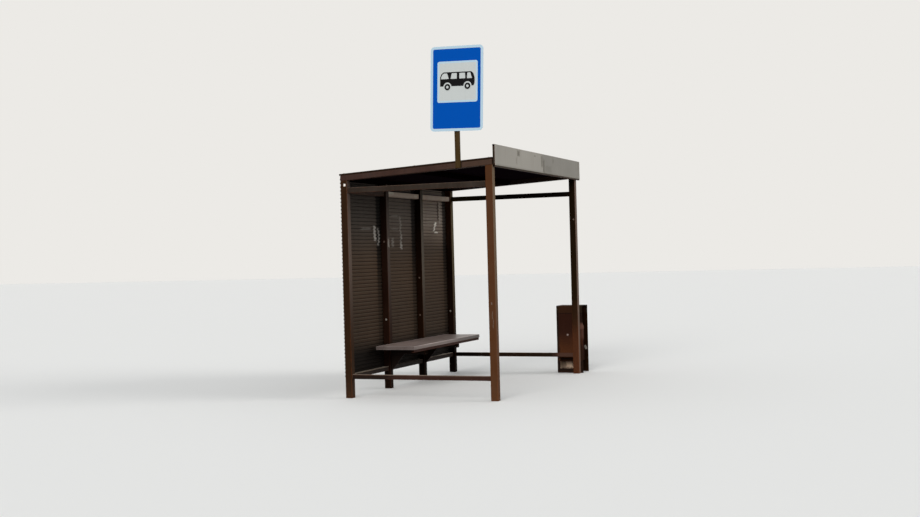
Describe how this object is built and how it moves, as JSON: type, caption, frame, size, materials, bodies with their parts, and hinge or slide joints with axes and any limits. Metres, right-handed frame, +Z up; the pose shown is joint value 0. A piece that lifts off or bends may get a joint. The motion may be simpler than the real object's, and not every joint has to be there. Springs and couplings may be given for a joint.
{
  "type": "bus shelter",
  "caption": "Open-fronted steel bus shelter with a ribbed back wall, pent roof, pale fascia board, wall bench, litter bin and a bus stop sign on a pipe.",
  "frame": {"origin": "centre of the front left post's foot, on the ground", "axes": "+Z up; +X along the shelter from the left end, where the sign stands, to the right end, where the litter bin stands; +Y from the open front to the back wall"},
  "size_m": [3.412, 1.842, 3.7756],
  "materials": {
    "frame_paint": "dark red-brown paint, dull, rust showing through",
    "roof_sheet": "brown coated trapezoid sheet, dull",
    "wall_panel": "dark brown coated ribbed sheet, satin",
    "fascia_frame": "brown paint, dull",
    "fascia_sheet": "pale grey painted sheet, dusty",
    "bench_board": "worn varnish, grey-brown",
    "bench_frame": "dark red-brown paint, dull",
    "bin_paint": "red-brown paint, rusty towards the ground",
    "sign_pole": "brown paint, dull",
    "sign_face": "blue enamel with white border, white square and bus symbol, semi-gloss"
  },
  "bodies": {
    "root": {"front_left_post": "frame_paint", "front_right_post": "frame_paint", "back_left_post": "frame_paint", "back_mid_left_post": "frame_paint", "back_mid_right_post": "frame_paint", "back_right_post": "frame_paint", "left_roof_beam": "frame_paint", "right_roof_beam": "frame_paint", "front_roof_beam": "frame_paint", "back_roof_beam": "frame_paint", "roof_purlin": "frame_paint", "left_top_rail": "frame_paint", "left_bottom_rail": "frame_paint", "right_top_rail": "frame_paint", "right_bottom_rail": "frame_paint", "back_top_rail_left": "frame_paint", "back_top_rail_middle": "frame_paint", "back_top_rail_right": "frame_paint", "back_bottom_rail_left": "frame_paint", "back_bottom_rail_middle": "frame_paint", "back_bottom_rail_right": "frame_paint", "roof_sheet": "roof_sheet", "back_panel_left": "wall_panel", "back_panel_middle": "wall_panel", "back_panel_right": "wall_panel", "fascia_top_rail": "fascia_frame", "fascia_bottom_rail": "fascia_frame", "fascia_upright_left": "fascia_frame", "fascia_upright_middle": "fascia_frame", "fascia_upright_right": "fascia_frame", "fascia_left": "fascia_sheet", "fascia_right": "fascia_sheet", "bench_seat": "bench_board", "bench_front_rail": "bench_frame", "bench_bracket_left": "bench_frame", "bench_bracket_right": "bench_frame", "bin_side_left": "bin_paint", "bin_side_right": "bin_paint", "bin_body": "bin_paint", "bin_hood": "bin_paint", "sign_post": "sign_pole", "sign_channel_lower": "sign_pole", "sign_channel_upper": "sign_pole", "sign_clamp_lower": "sign_pole", "sign_clamp_upper": "sign_pole", "sign_plate": "sign_face"}
  },
  "joints": []
}
